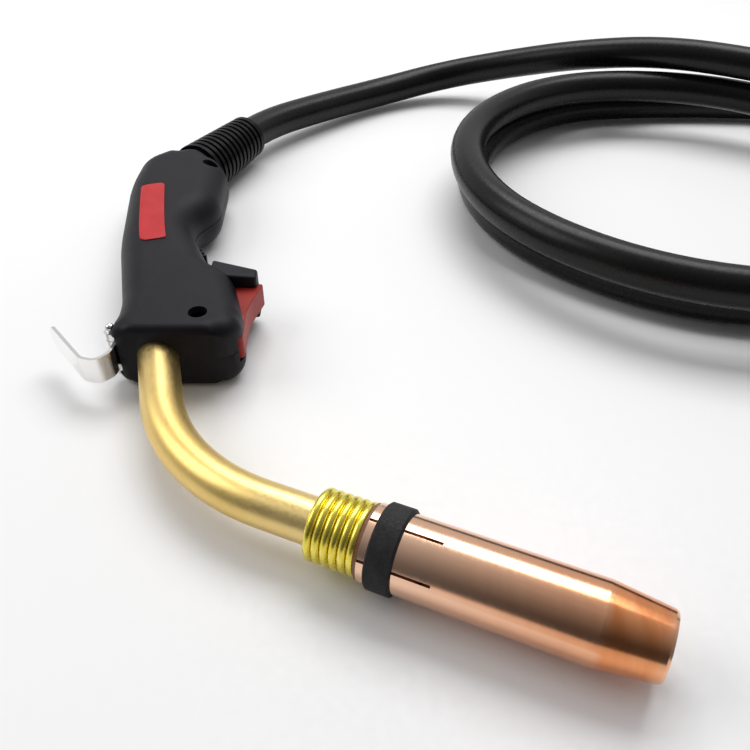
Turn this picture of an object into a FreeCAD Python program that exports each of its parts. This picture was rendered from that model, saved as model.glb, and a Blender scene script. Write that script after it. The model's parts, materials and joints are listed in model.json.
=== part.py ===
import FreeCAD, Part
import math
import os
import re
import Sketcher

# A MIG/MAG welding torch lying on its side: swan neck and gas nozzle, two-shell handle with a
# hinged trigger and a hanging hook, coaxial cable and central machine plug. Millimetres.
# +Y runs from the handle's front face to its rear, +X is the trigger side, z = 0 is the surface
# that it lies on, and the origin is on the handle's underside, behind the neck's root.

V = FreeCAD.Vector
UP = V(0, 0, 1)

doc = FreeCAD.newDocument("welding_torch")
sizes = doc.addObject("Spreadsheet::Sheet", "sizes")
aliases = []
nodes = []


def size(alias, value, note):
    """One driving size: its alias, its value or formula, and what it is."""
    row = len(aliases) + 1
    sizes.set(f"A{row}", str(value))
    sizes.setAlias(f"A{row}", alias)
    sizes.set(f"B{row}", note)
    aliases.append(alias)


def bound(text):
    """The expression with each alias written as a reference to the sheet."""
    return re.sub(r"[a-z_][a-z_0-9]*", lambda m: "sizes." + m[0] if m[0] in aliases else m[0], text)


def val(text):
    """The value of an expression of aliases."""
    return float(sizes.evalExpression(bound(text)))


# ---- running fits and the lie of the torch ----
size("fit_gap", 0.05, "radial gap of a piece that seats on another")
size("run_gap", 0.06, "radial gap of a pin in the hole that it turns in")
size("clear_gap", 0.4, "gap beside a piece that moves")
size("handle_thick", 34, "handle thickness, lying flat")
size("mid_z", "=handle_thick / 2", "height of the plane that all axes lie in")
size("neck_root_y", -30, "where the neck's axis leaves the handle")
size("neck_yaw", 14.6, "angle between the neck's axis and -Y, degrees")

# ---- swan neck ----
size("neck_od", 18, "neck jacket outside diameter")
size("neck_wall", 1.5, "neck jacket wall")
size("sleeve_wall", 1.4, "insulating sleeve wall")
size("core_wall", 2, "current tube wall")
size("liner_od", 4.6, "wire liner outside diameter")
size("liner_id", 2.2, "wire liner inside diameter")
size("neck_run", 27.2, "straight neck in front of the handle")
size("neck_radius", 85.2, "neck bend radius")
size("neck_bend", 51.9, "neck bend angle, degrees")
size("jacket_tail", 30, "jacket length inside the handle")
size("jacket_nose", 28.8, "jacket length past the bend")
size("sleeve_tail", 36, "sleeve length inside the handle")
size("core_tail", 44, "current tube length inside the handle")
size("core_seat", 14, "current tube length in the tip adaptor")
size("liner_tail", 80, "liner length inside the handle")

# ---- collar, insulator, nozzle ----
size("collar_start", 22.8, "collar's rear end, from the bend's end")
size("collar_long", 19.6, "collar length")
size("ridge_count", 6, "ridges on the collar")
size("ridge_rise", 1.6, "half width of a collar ridge")
size("collar_od", "=neck_od + 6", "collar diameter between its ridges")
size("rim_thick", 1.2, "insulator rim thickness")
size("bush_long", 22, "insulator length inside the nozzle")
size("nozzle_od", 28.6, "nozzle outside diameter")
size("nozzle_wall", 1.5, "nozzle wall")
size("nozzle_long", 100.25, "nozzle length")
size("nozzle_tip_od", "=nozzle_od - 4.9", "nozzle outside diameter at its mouth")
size("nozzle_tip_id", "=nozzle_tip_od - 4.3", "nozzle mouth diameter")
size("taper_long", 21, "length of the nozzle's tapered end")
size("slit_count", 3, "pairs of slits in the nozzle's rear end")
size("slit_wide", 1.1, "slit width")
size("slit_turn", 36, "angle of the first pair of slits about the nozzle, degrees")
size("slit_long", 26.1, "slit length")
size("ring_back", 2.8, "nozzle rim behind the ring")
size("ring_long", 9.6, "ring length")
size("ring_od", "=nozzle_od + 2.7", "ring outside diameter")

# ---- tip adaptor, diffuser, contact tip ----
size("adaptor_od", "=neck_od - 2 * neck_wall", "tip adaptor outside diameter")
size("adaptor_bore", 8, "tip adaptor bore")
size("adaptor_end", 112, "tip adaptor's front, from the bend's end")
size("thread_od", 8, "contact tip thread diameter")
size("thread_long", 11, "contact tip thread length")
size("diffuser_start", 66, "gas diffuser's rear, from the bend's end")
size("diffuser_long", 18, "gas diffuser length")
size("diffuser_od", "=nozzle_od - 2 * nozzle_wall - 4.6", "gas diffuser outside diameter")
size("port_dia", 2.4, "gas port diameter")
size("tip_od", 10, "contact tip diameter")
size("tip_nose_od", 6, "contact tip diameter at its end")
size("tip_nose_long", 7, "length of the contact tip's taper")
size("tip_recess", 3, "contact tip's end behind the nozzle's mouth")
size("wire_bore", 1.4, "contact tip bore")
size("tip_funnel", 3, "contact tip bore at its rear")

# ---- handle ----
size("front_y", -28.6, "handle front face")
size("handle_wall", 3.2, "shell wall")
size("handle_round", 10.5, "rounding of the handle's long edges")
size("mouth_x", -15, "centre of the cable's outlet, X")
size("mouth_y", 160, "centre of the cable's outlet, Y")
size("mouth_yaw", 24, "angle between the outlet's axis and +Y, degrees")
size("mouth_wall", 8, "wall round the outlet")
size("screw_head", 7, "handle screw head diameter")
size("screw_dia", 4, "handle screw diameter")
size("screw_well", 8.7, "diameter of the well over a handle screw")
size("well_deep", 8, "depth of that well")
size("boss_od", 11, "screw boss diameter")
size("horn_drop", 5, "horn's top below the handle's top")

# ---- trigger and switch ----
size("trigger_thick", 12, "trigger thickness")
size("trigger_x", 32.4, "trigger hinge, X")
size("trigger_y", -17.5, "trigger hinge, Y")
size("trigger_reach", 40.1, "trigger's rear end behind its hinge")
size("pin_dia", 3, "trigger pin diameter")
size("pin_long", 24, "trigger pin length")
size("pin_boss", 8, "diameter of the bosses that hold the trigger pin")
size("switch_x", 8, "switch rear face, X")
size("switch_y", 12, "switch button's axis, Y")
size("switch_long", 12.5, "switch length along its button")
size("switch_wide", 16, "switch width")
size("switch_thick", 9, "switch thickness")
size("button_dia", 3.2, "switch button diameter")
size("button_long", 6.6, "switch button length")
size("button_out", 4.1, "button in front of the switch")
size("lead_od", 1.8, "control lead diameter")

# ---- hook ----
size("hook_x", -21.2, "hook pin, X")
size("hook_y", -22, "hook pin, Y")
size("hook_pin_dia", 3, "hook pin diameter")
size("hook_wide", 13, "hook strip width")
size("hook_thick", 1.5, "hook strip thickness")
size("knuckle_od", 6.2, "outside diameter of the hook's eye and its bracket's knuckles")
size("knuckle_long", 3.4, "length of a bracket knuckle")
size("plate_thick", 1.4, "bracket plate thickness")
size("plate_deep", 11, "bracket plate length along the handle")

# ---- cable and its boot ----
size("cable_od", 21, "cable outside diameter")
size("boot_long", 58, "boot length outside the handle")
size("boot_od", "=cable_od + 13", "boot diameter at the handle")
size("boot_end_od", "=cable_od + 7", "boot diameter at its end")
size("mouth_wide", "=boot_od + 1", "width of the outlet's end face")
size("boot_ribs", 11, "ribs on the boot")
size("rib_deep", 2.3, "depth between the ribs")
size("spigot_od", "=cable_od + 5", "boot diameter in the handle's wall")
size("flange_od", "=spigot_od + 3.4", "boot flange inside the handle")
size("flange_long", 4, "boot flange length")
size("block_od", "=neck_od + 4", "connector block diameter")
size("block_long", 38, "connector block length")
size("stud_od", 13, "connector block's crimp stud diameter")
size("stud_long", 12, "crimp stud length")
size("crimp_wall", 2.5, "crimp sleeve wall")
size("nut_flats", "=neck_od + 5", "neck nut, across flats")
size("nut_long", 10, "neck nut length")

# ---- central machine plug, along its own axis from the cable's end ----
size("plug_boot_long", 46, "plug boot length")
size("plug_boot_od", "=cable_od + 10", "plug boot diameter at the plug")
size("plug_boot_end", "=cable_od + 4.5", "plug boot diameter at its end")
size("shell_long", 62, "plug shell length")
size("shell_od", 46, "plug shell diameter")
size("shell_wall", 2.8, "plug shell wall")
size("nut_od", 54, "coupling nut diameter")
size("coupling_long", 26, "coupling nut length")
size("flute_count", 14, "grip flutes in the coupling nut")
size("flute_dia", 6, "flute diameter")
size("body_od", 32, "plug body diameter in the coupling nut")
size("body_flange", 38, "diameter of the flange that holds the coupling nut")
size("face_od", 38, "plug face diameter")
size("face_long", 13, "plug face length")
size("nipple_od", 10, "gas nipple diameter")
size("nipple_long", 22, "gas nipple length in front of the plug face")
size("contact_dia", 4, "control pin diameter")
size("contact_long", 9, "control pin length in front of the plug face")
size("pin_root", 4.8, "control pin diameter inside the plug face")
size("contact_pitch", 11, "control pins from the plug's axis")

doc.recompute()

# The free cable's route between the boot and the plug. It falls to the floor, swings right,
# climbs over two turns of its own loop, and each turn then lies on the one laid after it.
ROUTE = [
    V(58, 277, 13.6),
    V(101, 313, 12.5),
    V(152, 334, 18.5),
    V(205, 323, 31.5),
    V(252, 300, 45.5),
    V(303, 275, 55.5),
    V(360, 247, 55.5),
    V(430.7, 200.2, 51.5),
    V(456.6, 119.7, 45.5),
    V(426.4, 40.8, 38.5),
    V(351.2, -3.3, 34.5),
    V(238, 4, 33.5),
    V(155, 82, 33.5),
    V(151, 190, 33.5),
    V(225, 268, 33.5),
    V(332, 266, 33.5),
    V(404.6, 217, 30.5),
    V(429.6, 135.8, 23.5),
    V(398, 57, 16.5),
    V(323.7, 15.5, 12.5),
    V(238, 30, 12),
    V(163, 100, 12),
    V(157, 203, 12),
    V(226, 282, 12),
    V(324, 293, 12),
    V(420, 285, 12),
    V(488, 235, 12),
    V(519, 165, 15.5),
    V(521, 98, 27.5),
]
PLUG_START = V(521, 48, 27.5)


def frame_at(point, yaw):
    """A placement at a point, turned about the vertical."""
    return FreeCAD.Placement(point, FreeCAD.Rotation(UP, yaw))


def along(frame, x=0, y=0, z=0):
    """A point given in a frame's own directions."""
    return frame.multVec(V(x, y, z))


neck_frame = frame_at(V(0, val("neck_root_y"), val("mid_z")), val("neck_yaw"))
bend_end = along(
    neck_frame,
    val("neck_radius * (1 - cos(neck_bend * 1deg))"),
    -val("neck_run + neck_radius * sin(neck_bend * 1deg)"),
)
nozzle_frame = frame_at(bend_end, val("neck_yaw + neck_bend - 90"))
boot_frame = frame_at(V(val("mouth_x"), val("mouth_y"), val("mid_z")), 90 - val("mouth_yaw"))
plug_frame = frame_at(PLUG_START, -90)


def keep(piece, label, frame=None):
    """Name a finished sub-part and put it in its place."""
    piece.Label = label
    if frame is not None:
        piece.Placement = frame
    nodes.append(piece)
    return piece


def sketch_in(body, role, name):
    """An empty sketch on one of a body's own origin planes."""
    sketch = body.newObject("Sketcher::SketchObject", name)
    plane = [f for f in body.Origin.OriginFeatures if f.Role == role][0]
    sketch.AttachmentSupport = [(plane, "")]
    sketch.MapMode = "FlatFace"
    return sketch


def bind_vertex(sketch, edge, end, x, y):
    """Tie one end of a sketch edge to two expressions of the driving sizes."""
    for kind, text in (("DistanceX", x), ("DistanceY", y)):
        index = sketch.addConstraint(Sketcher.Constraint(kind, -1, 1, edge, end, val(text)))
        sketch.setExpression(f"Constraints[{index}]", bound(text))


def draw_outline(sketch, outline):
    """A closed outline of straight edges, each corner tied to the driving sizes."""
    corners = [V(val(x), val(y), 0) for x, y in outline]
    count = len(corners)
    for i in range(count):
        sketch.addGeometry(Part.LineSegment(corners[i], corners[(i + 1) % count]), False)
    for i in range(count):
        sketch.addConstraint(Sketcher.Constraint("Coincident", i, 2, (i + 1) % count, 1))
        bind_vertex(sketch, i, 1, *outline[i])


def turned(name, outline):
    """A body of revolution about its own X axis, from an outline of (along, radius)."""
    body = doc.addObject("PartDesign::Body", name)
    sketch = sketch_in(body, "XY_Plane", name + "_section")
    draw_outline(sketch, outline)
    turn = body.newObject("PartDesign::Revolution", name + "_turn")
    turn.Profile = (sketch, [""])
    turn.ReferenceAxis = (sketch, ["H_Axis"])
    turn.Angle = 360
    sketch.Visibility = False
    return body


def sleeve(start, end, inner, outer):
    """The outline of a plain sleeve from start to end, by its inner and outer diameters."""
    return [
        (start, f"({inner}) / 2"),
        (end, f"({inner}) / 2"),
        (end, f"({outer}) / 2"),
        (start, f"({outer}) / 2"),
    ]


def cylinder(name, radius, height, frame):
    """A cylinder standing on a frame's XY plane."""
    shape = doc.addObject("Part::Cylinder", name)
    shape.setExpression("Radius", bound(radius))
    shape.setExpression("Height", bound(height))
    shape.Placement = frame
    return shape


def box(name, x, y, z, frame):
    """A box from a frame's origin along its positive axes."""
    shape = doc.addObject("Part::Box", name)
    shape.setExpression("Length", bound(x))
    shape.setExpression("Width", bound(y))
    shape.setExpression("Height", bound(z))
    shape.Placement = frame
    return shape


def joined(name, shapes):
    """Several document objects fused into one."""
    fuse = doc.addObject("Part::MultiFuse", name)
    fuse.Shapes = shapes
    return fuse


def cut(name, base, tool):
    """One document object cut from another."""
    result = doc.addObject("Part::Cut", name)
    result.Base = base
    result.Tool = tool
    return result


# ---- neck ----
def neck_pipe(name, outer, inner, tail, nose):
    """A tube along the neck's axis, from inside the handle to past the bend."""
    body = doc.addObject("PartDesign::Body", name)
    path = sketch_in(body, "XY_Plane", name + "_path")
    sine = "sin(neck_bend * 1deg)"
    cosine = "cos(neck_bend * 1deg)"
    turn_x = f"neck_radius * (1 - {cosine})"
    turn_y = f"-({tail} + neck_run + neck_radius * {sine})"
    bend_y = f"-({tail} + neck_run)"
    end_x = f"{turn_x} + ({nose}) * {sine}"
    end_y = f"{turn_y} - ({nose}) * {cosine}"
    centre = V(val("neck_radius"), val(bend_y), 0)
    circle = Part.Circle(centre, UP, val("neck_radius"))
    bend = Part.ArcOfCircle(circle, math.pi, math.pi + math.radians(val("neck_bend")))
    path.addGeometry(Part.LineSegment(V(0, 0, 0), V(0, val(bend_y), 0)), False)
    path.addGeometry(bend, False)
    path.addGeometry(Part.LineSegment(V(val(turn_x), val(turn_y), 0), V(val(end_x), val(end_y), 0)), False)
    path.addConstraint(Sketcher.Constraint("Coincident", 0, 2, 1, 1))
    path.addConstraint(Sketcher.Constraint("Coincident", 1, 2, 2, 1))
    bind_vertex(path, 0, 1, "0", "0")
    bind_vertex(path, 0, 2, "0", bend_y)
    bind_vertex(path, 2, 1, turn_x, turn_y)
    bind_vertex(path, 2, 2, end_x, end_y)
    radius = path.addConstraint(Sketcher.Constraint("Radius", 1, val("neck_radius")))
    path.setExpression(f"Constraints[{radius}]", bound("neck_radius"))
    section = sketch_in(body, "XZ_Plane", name + "_section")
    for number, diameter in enumerate((outer, inner)):
        section.addGeometry(Part.Circle(V(0, 0, 0), UP, val(diameter) / 2), False)
        section.addConstraint(Sketcher.Constraint("Coincident", number, 3, -1, 1))
        index = section.addConstraint(Sketcher.Constraint("Diameter", number, val(diameter)))
        section.setExpression(f"Constraints[{index}]", bound(diameter))
    pipe = body.newObject("PartDesign::AdditivePipe", name + "_pipe")
    pipe.Profile = (section, [""])
    pipe.Spine = (path, ["Edge1", "Edge2", "Edge3"])
    start = neck_frame.multiply(frame_at(V(0, val(tail), 0), 0))
    return keep(body, name, start)


def make_neck():
    sleeve_od = "neck_od - 2 * neck_wall - 2 * fit_gap"
    core_od = f"{sleeve_od} - 2 * sleeve_wall - 2 * fit_gap"
    neck_pipe("neck_tube", "neck_od", "neck_od - 2 * neck_wall", "jacket_tail", "jacket_nose")
    neck_pipe("neck_insulation", sleeve_od, f"{sleeve_od} - 2 * sleeve_wall", "sleeve_tail", "jacket_nose")
    core_nose = "jacket_nose + fit_gap * 4 + core_seat"
    neck_pipe("neck_core", core_od, f"{core_od} - 2 * core_wall", "core_tail", core_nose)
    liner_nose = "adaptor_end - thread_long - 1"
    neck_pipe("wire_liner", "liner_od", "liner_id", "liner_tail", liner_nose)


# ---- in front of the bend, all turned about the nozzle's axis ----
CORE_OD = "neck_od - 2 * neck_wall - 4 * fit_gap - 2 * sleeve_wall"
COLLAR_END = "collar_start + collar_long"
NOZZLE_START = "collar_start + collar_long + rim_thick + fit_gap * 2"
NOZZLE_ID = "nozzle_od - 2 * nozzle_wall"


def make_collar():
    """The collar: a stepped sleeve on the neck's end with round ridges."""
    step = "jacket_nose + fit_gap"
    core = turned("collar_core", [
        ("collar_start", "neck_od / 2 + fit_gap"),
        (step, "neck_od / 2 + fit_gap"),
        (step, "adaptor_od / 2 + fit_gap"),
        (COLLAR_END, "adaptor_od / 2 + fit_gap"),
        (COLLAR_END, "collar_od / 2"),
        ("collar_start", "collar_od / 2"),
    ])
    core.Placement = nozzle_frame
    ridges = [core]
    count = int(val("ridge_count"))
    for i in range(count):
        ridge = doc.addObject("Part::Torus", f"collar_ridge_{i + 1}")
        ridge.setExpression("Radius1", bound("collar_od / 2"))
        ridge.setExpression("Radius2", bound("ridge_rise"))
        place = f"collar_start + ridge_rise + (collar_long - 2 * ridge_rise) * {i} / (ridge_count - 1)"
        upright = FreeCAD.Rotation(V(0, 1, 0), 90)
        ridge.Placement = nozzle_frame.multiply(FreeCAD.Placement(V(val(place), 0, 0), upright))
        ridges.append(ridge)
    keep(joined("neck_collar", ridges), "neck_collar")


def make_insulator():
    """The phenolic bush that the nozzle's sprung end grips, with a rim behind the nozzle."""
    bore = "adaptor_od / 2 + fit_gap"
    rim = "collar_start + collar_long + rim_thick"
    bush = turned("nozzle_insulator", [
        (COLLAR_END, bore),
        (f"{rim} + bush_long", bore),
        (f"{rim} + bush_long", f"({NOZZLE_ID}) / 2 - fit_gap - 1"),
        (f"{rim} + bush_long - 2", f"({NOZZLE_ID}) / 2 - fit_gap"),
        (rim, f"({NOZZLE_ID}) / 2 - fit_gap"),
        (rim, "nozzle_od / 2 - 0.5"),
        (COLLAR_END, "nozzle_od / 2 - 0.5"),
    ])
    keep(bush, "nozzle_insulator", nozzle_frame)


def make_nozzle():
    """The gas nozzle: a tube with a drawn-in mouth, slit at its rear so that it grips."""
    end = f"({NOZZLE_START}) + nozzle_long"
    tube = turned("nozzle_body", [
        (NOZZLE_START, f"({NOZZLE_ID}) / 2"),
        (f"{end} - taper_long", f"({NOZZLE_ID}) / 2"),
        (f"{end} - 3", "nozzle_tip_id / 2"),
        (end, "nozzle_tip_id / 2"),
        (end, "nozzle_tip_od / 2 - 0.6"),
        (f"{end} - 1", "nozzle_tip_od / 2"),
        (f"{end} - taper_long", "nozzle_od / 2"),
        (NOZZLE_START, "nozzle_od / 2"),
    ])
    tube.Placement = nozzle_frame
    slits = []
    count = int(val("slit_count"))
    for i in range(count):
        turn = FreeCAD.Placement(V(), FreeCAD.Rotation(V(1, 0, 0), val("slit_turn") + 180 * i / count))
        corner = V(val(NOZZLE_START) - 1, -val("nozzle_od"), -val("slit_wide") / 2)
        place = nozzle_frame.multiply(turn).multiply(FreeCAD.Placement(corner, FreeCAD.Rotation()))
        slits.append(box(f"slit_{i + 1}", "slit_long + 1", "2 * nozzle_od", "slit_wide", place))
    keep(cut("gas_nozzle", tube, joined("slits", slits)), "gas_nozzle")


def make_ring():
    """The rubber ring that covers the nozzle's slits."""
    start = f"{NOZZLE_START} + ring_back"
    end = f"{start} + ring_long"
    ring = turned("nozzle_ring", [
        (start, "nozzle_od / 2 + fit_gap"),
        (end, "nozzle_od / 2 + fit_gap"),
        (end, "ring_od / 2 - 0.7"),
        (f"{end} - 0.7", "ring_od / 2"),
        (f"{start} + 0.7", "ring_od / 2"),
        (start, "ring_od / 2 - 0.7"),
    ])
    keep(ring, "nozzle_ring", nozzle_frame)


def gas_ports(name, outer, station):
    """Six radial gas ports through a turned piece."""
    tools = []
    for i in range(6):
        turn = FreeCAD.Rotation(V(1, 0, 0), 30 + 60 * i)
        place = nozzle_frame.multiply(FreeCAD.Placement(V(val(station), 0, 0), turn))
        tools.append(cylinder(f"{name}_{i + 1}", "port_dia / 2", outer, place))
    return joined(name, tools)


def make_adaptor():
    """The tip adaptor: a socket on the current tube, gas ports, and a thread for the tip."""
    start = "jacket_nose + fit_gap * 2"
    socket_end = f"{start} + core_seat + fit_gap * 4"
    rod = turned("adaptor_rod", [
        (start, f"({CORE_OD}) / 2 + fit_gap"),
        (socket_end, f"({CORE_OD}) / 2 + fit_gap"),
        (socket_end, "adaptor_bore / 2 - 0.5"),
        ("adaptor_end - thread_long - 0.5", "adaptor_bore / 2 - 0.5"),
        ("adaptor_end - thread_long - 0.5", "thread_od / 2 + fit_gap"),
        ("adaptor_end", "thread_od / 2 + fit_gap"),
        ("adaptor_end", "adaptor_od / 2 - 1"),
        ("adaptor_end - 1", "adaptor_od / 2"),
        (start, "adaptor_od / 2"),
    ])
    rod.Placement = nozzle_frame
    ports = gas_ports("adaptor_ports", "adaptor_od", "diffuser_start + diffuser_long / 2")
    keep(cut("tip_adaptor", rod, ports), "tip_adaptor")


def make_diffuser():
    """The gas diffuser: a ceramic sleeve with a gallery round the adaptor's ports."""
    end = "diffuser_start + diffuser_long"
    ring = turned("diffuser_ring", [
        ("diffuser_start", "adaptor_od / 2 + fit_gap"),
        (end, "adaptor_od / 2 + fit_gap"),
        (end, "diffuser_od / 2 - 1"),
        (f"{end} - 1", "diffuser_od / 2"),
        ("diffuser_start", "diffuser_od / 2"),
    ])
    ring.Placement = nozzle_frame
    ports = gas_ports("diffuser_ports", "diffuser_od", "diffuser_start + diffuser_long / 2")
    keep(cut("gas_diffuser", ring, ports), "gas_diffuser")


def make_tip():
    """The copper contact tip that the wire runs through."""
    end = f"({NOZZLE_START}) + nozzle_long - tip_recess"
    tip = turned("contact_tip", [
        ("adaptor_end - thread_long", "tip_funnel / 2"),
        ("adaptor_end + 1", "wire_bore / 2"),
        (end, "wire_bore / 2"),
        (end, "tip_nose_od / 2"),
        (f"{end} - tip_nose_long", "tip_od / 2"),
        ("adaptor_end + fit_gap", "tip_od / 2"),
        ("adaptor_end + fit_gap", "thread_od / 2"),
        ("adaptor_end - thread_long", "thread_od / 2"),
    ])
    keep(tip, "contact_tip", nozzle_frame)


# ---- inside the handle ----
NUT_START = "jacket_tail - nut_long - 2"
BLOCK_START = "jacket_tail + fit_gap * 2"
BLOCK_END = "jacket_tail + fit_gap * 2 + block_long"
CABLE_START = "jacket_tail + fit_gap * 4 + block_long + stud_long + 1"
inward = neck_frame.multiply(FreeCAD.Placement(V(), FreeCAD.Rotation(UP, 90)))


def make_connector():
    """The brass block that joins the neck to the cable, its nut, and the crimp sleeve."""
    core = f"({CORE_OD}) / 2 + fit_gap"
    sleeve_r = "neck_od / 2 - neck_wall - fit_gap"
    block = turned("connector_block", [
        (BLOCK_START, f"{sleeve_r} + fit_gap"),
        ("sleeve_tail + fit_gap * 2", f"{sleeve_r} + fit_gap"),
        ("sleeve_tail + fit_gap * 2", core),
        ("core_tail + fit_gap * 2", core),
        ("core_tail + fit_gap * 2", "liner_od / 2 + fit_gap"),
        (f"{BLOCK_END} + stud_long", "liner_od / 2 + fit_gap"),
        (f"{BLOCK_END} + stud_long", "stud_od / 2"),
        (BLOCK_END, "stud_od / 2"),
        (BLOCK_END, "block_od / 2"),
        (BLOCK_START, "block_od / 2"),
    ])
    keep(block, "connector_block", inward)
    prism = doc.addObject("Part::Prism", "nut_prism")
    prism.Polygon = 6
    prism.setExpression("Circumradius", bound("nut_flats / 2 / cos(30deg)"))
    prism.setExpression("Height", bound("nut_long"))
    upright = FreeCAD.Rotation(V(0, 1, 0), 90)
    place = inward.multiply(FreeCAD.Placement(V(val(NUT_START), 0, 0), upright))
    prism.Placement = place
    bore = cylinder("nut_bore", "neck_od / 2 + fit_gap", "nut_long", place)
    keep(cut("neck_nut", prism, bore), "neck_nut")
    inner = "stud_od + 2 * fit_gap"
    outer = "stud_od + 2 * fit_gap + 2 * crimp_wall"
    start = f"{BLOCK_END} + fit_gap * 2"
    crimp = turned("cable_crimp", sleeve(start, f"{BLOCK_END} + stud_long", inner, outer))
    keep(crimp, "cable_crimp", inward)


def rounded_path(points, radii=None):
    """Straight runs joined by tangent arcs, as large as the two runs at each point allow."""
    edges = []
    found = []
    last = points[0]
    for i in range(1, len(points) - 1):
        back = points[i - 1] - points[i]
        ahead = points[i + 1] - points[i]
        half = (math.pi - back.getAngle(ahead)) / 2
        reach = 0.45 * min(back.Length, ahead.Length)
        if radii is not None:
            reach = min(reach, radii * math.tan(half))
        found.append(reach / math.tan(half))
        back.normalize()
        ahead.normalize()
        start = points[i] + back * reach
        end = points[i] + ahead * reach
        middle = back + ahead
        middle.normalize()
        gap = found[-1] / math.cos(half) - found[-1]
        edges.append(Part.LineSegment(last, start).toShape())
        edges.append(Part.Arc(start, points[i] + middle * gap, end).toShape())
        last = end
    edges.append(Part.LineSegment(last, points[-1]).toShape())
    return Part.Wire(edges), found


def tube_along(points, radius, radii=None):
    """A round solid along a rounded path, with the path's length and arc radii."""
    wire, found = rounded_path(points, radii)
    direction = points[1] - points[0]
    ring = Part.Wire([Part.Circle(points[0], direction, radius).toShape()])
    solid = wire.makePipeShell([ring], True, True)
    return solid, wire.Length, found


def feature(label, shape):
    """A sub-part whose shape is made here."""
    piece = doc.addObject("Part::Feature", label)
    piece.Shape = shape
    return keep(piece, label)


def lead_route():
    """The held end of the cable: straight out of the block, one easy bend, and out of the boot."""
    start = along(neck_frame, 0, val(CABLE_START))
    second = along(neck_frame, 0, val(CABLE_START) + 18)
    return [start, second, along(boot_frame, -44), along(boot_frame, val("boot_long"))]


def make_cable_lead():
    """The end of the cable that is held in the handle and its boot."""
    solid, length, radii = tube_along(lead_route(), val("cable_od") / 2)
    print("cable in the handle", round(length, 1), "radii", [round(r) for r in radii])
    feature("cable_lead", solid)


def make_boot():
    """The ribbed bend relief, held by a flange inside the handle's outlet."""
    bore = "cable_od / 2 + fit_gap"
    outline = [
        ("-mouth_wall - fit_gap * 4 - flange_long", bore),
        ("boot_long", bore),
        ("boot_long", "boot_end_od / 2"),
    ]
    count = int(val("boot_ribs"))
    pitch = "(boot_long - 4) / boot_ribs"
    slope = "(boot_od - boot_end_od) / 2 / boot_ribs"
    for i in range(count):
        top = f"boot_end_od / 2 + {slope} * {i}"
        place = f"boot_long - 1 - {pitch} * {i}"
        outline.append((f"{place} - {pitch} * 0.5", top))
        outline.append((f"{place} - {pitch} * 0.6", f"{top} - rib_deep"))
        outline.append((f"{place} - {pitch} * 0.9", f"{top} - rib_deep"))
        outline.append((f"{place} - {pitch}", f"{top} + {slope}"))
    outline += [
        ("fit_gap * 4", "boot_od / 2"),
        ("fit_gap * 4", "spigot_od / 2"),
        ("-mouth_wall - fit_gap * 4", "spigot_od / 2"),
        ("-mouth_wall - fit_gap * 4", "flange_od / 2"),
        ("-mouth_wall - fit_gap * 4 - flange_long", "flange_od / 2"),
    ]
    keep(turned("cable_boot", outline), "cable_boot", boot_frame)


# ---- handle shells ----
def rounded_wire(corners, height=0.0):
    """A closed outline of straight edges with a round at each corner: (point, radius)."""
    edges = []
    count = len(corners)
    ends = []
    for i in range(count):
        point, radius = corners[i]
        back = (corners[i - 1][0] - point).normalize()
        ahead = (corners[(i + 1) % count][0] - point).normalize()
        half = (math.pi - back.getAngle(ahead)) / 2
        reach = radius * math.tan(half)
        middle = (back + ahead).normalize()
        gap = radius / math.cos(half) - radius
        ends.append((point + back * reach, point + middle * gap, point + ahead * reach))
    for i in range(count):
        start, top, end = ends[i]
        edges.append(Part.Arc(start, top, end).toShape())
        edges.append(Part.LineSegment(end, ends[(i + 1) % count][0]).toShape())
    wire = Part.Wire(edges)
    wire.translate(V(0, 0, height))
    return wire


def slab(wire, height):
    """A solid of a closed flat outline, height tall."""
    return Part.Face(wire).extrude(V(0, 0, height))


def handle_outline():
    """The handle in plan, with its bend, its palm swell and the scoop in front of the horn."""
    front = val("front_y")
    half = val("mouth_wide") / 2
    right = along(boot_frame, 0, -half)
    left = along(boot_frame, 0, half)
    left.z = right.z = 0
    return [
        (V(-21, front, 0), 11),
        (V(38, front, 0), 11),
        (V(35.8, -9, 0), 25),
        (V(27.4, 22, 0), 11),
        (V(13, 36, 0), 16),
        (V(-4.5, 76, 0), 22),
        (V(8.5, 97, 0), 24),
        (V(7, 140, 0), 30),
        (right, 11),
        (left, 11),
        (V(-47, 150, 0), 22),
        (V(-47.5, 120, 0), 150),
        (V(-37.5, 56, 0), 200),
        (V(-21, -4, 0), 80),
    ]


def handle_body():
    """The closed handle, rounded along its long edges, with the horn behind the trigger."""
    thick = val("handle_thick")
    solid = slab(rounded_wire(handle_outline()), thick)
    level = [e for e in solid.Edges if abs(e.BoundBox.ZLength) < 1e-6]
    solid = solid.makeFillet(val("handle_round"), level)
    drop = val("horn_drop")
    horn = slab(rounded_wire([
        (V(20, 19, 0), 1),
        (V(38.8, 18.6, 0), 1.5),
        (V(38.8, 26.8, 0), 3),
        (V(16, 32.5, 0), 2),
    ], drop), thick - 2 * drop)
    level = [e for e in horn.Edges if abs(e.BoundBox.ZLength) < 1e-6]
    return solid.fuse(horn.makeFillet(1.4, level)).removeSplitter()


def handle_cavity():
    """The room inside the handle."""
    wall = val("handle_wall")
    inner = rounded_wire(handle_outline()).makeOffset2D(-wall)
    inner.translate(V(0, 0, wall))
    return slab(inner, val("handle_thick") - 2 * wall)


def upright_rod(x, y, radius, low, high):
    """A vertical rod between two heights."""
    return Part.makeCylinder(radius, high - low, V(x, y, low))


SCREWS = [V(17.5, -16.7, 0), V(-2.2, 138.5, 0)]


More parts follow.
